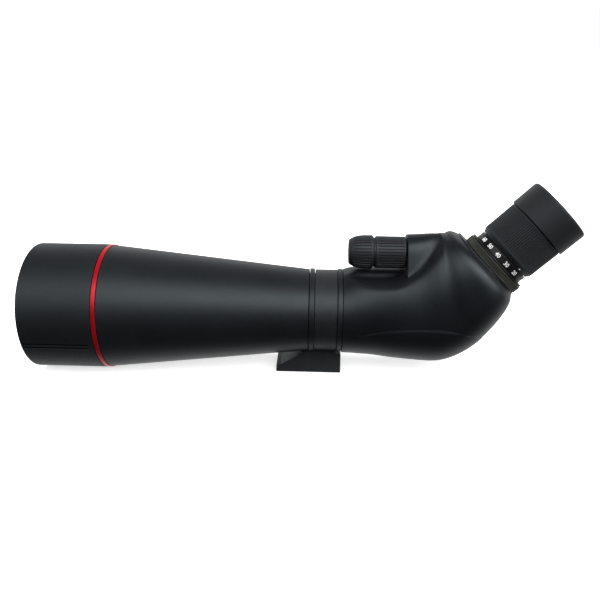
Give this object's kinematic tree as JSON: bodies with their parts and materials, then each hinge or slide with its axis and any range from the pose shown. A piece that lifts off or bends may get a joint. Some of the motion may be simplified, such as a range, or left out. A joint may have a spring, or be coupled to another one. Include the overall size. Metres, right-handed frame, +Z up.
{
  "type": "spotting scope",
  "caption": "Angled spotting scope: tapered tube with sliding hood, turning tripod collar with foot, coaxial focus knobs and a zoom eyepiece at 45 degrees.",
  "frame": {"origin": "on the flat underside of the tripod foot, below the centre plane of the collar", "axes": "+X along the optical axis from the objective to the eye end, +Z up from the foot through the optical axis, the eyepiece leaning up and back at 45 degrees in the XZ plane"},
  "size_m": [0.3974, 0.095, 0.1459],
  "materials": {
    "tube_paint": "satin black paint",
    "hood_paint": "matt black paint",
    "armour": "soft satin black armour",
    "collar_cast": "grainy black cast and painted",
    "red_anodised": "red anodised, satin",
    "black_anodised": "black anodised",
    "knurl_black": "black anodised, finely knurled",
    "rubber": "matt black rubber",
    "knob_plastic": "ribbed black rubber",
    "matt_black": "dead matt black",
    "felt": "black felt",
    "polymer": "dark acetal",
    "steel": "turned steel",
    "brass": "turned brass",
    "coated_glass": "coated optical glass"
  },
  "bodies": {
    "collar": {"tripod_collar": "collar_cast", "tripod_insert": "steel", "collar_liner": "polymer"},
    "lock_knob": {"collar_lock_knob": "knob_plastic", "lock_screw": "steel"},
    "barrel": {"main_tube": "tube_paint", "accent_ring": "red_anodised", "objective_cell": "matt_black", "crown_lens": "coated_glass", "lens_spacer": "steel", "flint_lens": "coated_glass", "lens_retaining_ring": "black_anodised", "baffle_front": "matt_black", "baffle_rear": "matt_black", "collar_front_flange": "black_anodised", "collar_rear_flange": "black_anodised", "rear_housing": "armour", "knob_bushing": "brass", "guide_rail_left": "steel", "guide_rail_right": "steel", "prism_chassis": "matt_black", "roof_prism": "coated_glass", "prism_strap": "steel", "eyepiece_socket": "black_anodised", "eyepiece_barrel": "black_anodised", "scale_ring": "black_anodised", "field_stop": "matt_black", "eye_lens": "coated_glass", "eye_lens_ring": "black_anodised"},
    "hood": {"hood": "hood_paint", "hood_felt": "felt"},
    "coarse_focus": {"coarse_knob": "knob_plastic", "lead_screw": "steel"},
    "fine_focus": {"fine_knob": "knob_plastic", "fine_spindle": "steel"},
    "focus_group": {"focus_carriage": "matt_black", "focus_lens": "coated_glass", "focus_lens_ring": "black_anodised", "focus_nut": "brass"},
    "eyepiece_lock": {"eyepiece_lock_ring": "knurl_black"},
    "zoom": {"zoom_ring": "rubber", "zoom_cam_tube": "black_anodised"},
    "front_zoom_group": {"front_zoom_cell": "matt_black", "front_zoom_lens": "coated_glass"},
    "rear_zoom_group": {"rear_zoom_cell": "matt_black", "rear_zoom_lens": "coated_glass"},
    "eyecup_cam": {"eyecup_cam_ring": "polymer"},
    "eyecup": {"eyecup": "rubber"}
  },
  "joints": [
    {"name": "barrel_turn", "type": "hinge", "parent": "collar", "child": "barrel", "pos_m": [0, 0, 0.046], "axis": [1, 0, 0], "continuous": true},
    {"name": "collar_lock_turn", "type": "hinge", "parent": "collar", "child": "lock_knob", "pos_m": [0, 0.041, 0.046], "axis": [0, 1, 0], "range_deg": [0, 270]},
    {"name": "hood_slide", "type": "slide", "parent": "barrel", "child": "hood", "axis": [-1, 0, 0], "range_m": [0, 0.034]},
    {"name": "coarse_focus_turn", "type": "hinge", "parent": "barrel", "child": "coarse_focus", "pos_m": [0.046, 0, 0.0933], "axis": [1, 0, 0], "range_deg": [-540, 540]},
    {"name": "fine_focus_turn", "type": "hinge", "parent": "coarse_focus", "child": "fine_focus", "pos_m": [0.024, 0, 0.0933], "axis": [1, 0, 0], "continuous": true},
    {"name": "focus_travel", "type": "slide", "parent": "barrel", "child": "focus_group", "axis": [1, 0, 0], "range_m": [-0.005, 0.005]},
    {"name": "eyepiece_lock_turn", "type": "hinge", "parent": "barrel", "child": "eyepiece_lock", "pos_m": [0.12061, 0, 0.08546], "axis": [0.7071, 0, 0.7071], "range_deg": [0, 40]},
    {"name": "zoom_turn", "type": "hinge", "parent": "barrel", "child": "zoom", "pos_m": [0.13843, 0, 0.10328], "axis": [-0.7071, 0, -0.7071], "range_deg": [0, 96]},
    {"name": "front_zoom_travel", "type": "slide", "parent": "barrel", "child": "front_zoom_group", "axis": [0.7071, 0, 0.7071], "range_m": [0, 0.0141]},
    {"name": "rear_zoom_travel", "type": "slide", "parent": "barrel", "child": "rear_zoom_group", "axis": [0.7071, 0, 0.7071], "range_m": [-0.0061, 0]},
    {"name": "eyecup_twist", "type": "hinge", "parent": "barrel", "child": "eyecup_cam", "pos_m": [0.15186, 0, 0.11671], "axis": [0.7071, 0, 0.7071], "range_deg": [0, 120]},
    {"name": "eyecup_rise", "type": "slide", "parent": "eyecup_cam", "child": "eyecup", "axis": [0.7071, 0, 0.7071], "range_m": [0, 0.0081]}
  ],
  "couplings": [
    {"joint": "focus_travel", "follows": "coarse_focus_turn", "m_per_rad": -0.0005093},
    {"joint": "front_zoom_travel", "follows": "zoom_turn", "m_per_rad": 0.0083556},
    {"joint": "rear_zoom_travel", "follows": "zoom_turn", "m_per_rad": -0.003581},
    {"joint": "eyecup_rise", "follows": "eyecup_twist", "m_per_rad": 0.0038197}
  ]
}
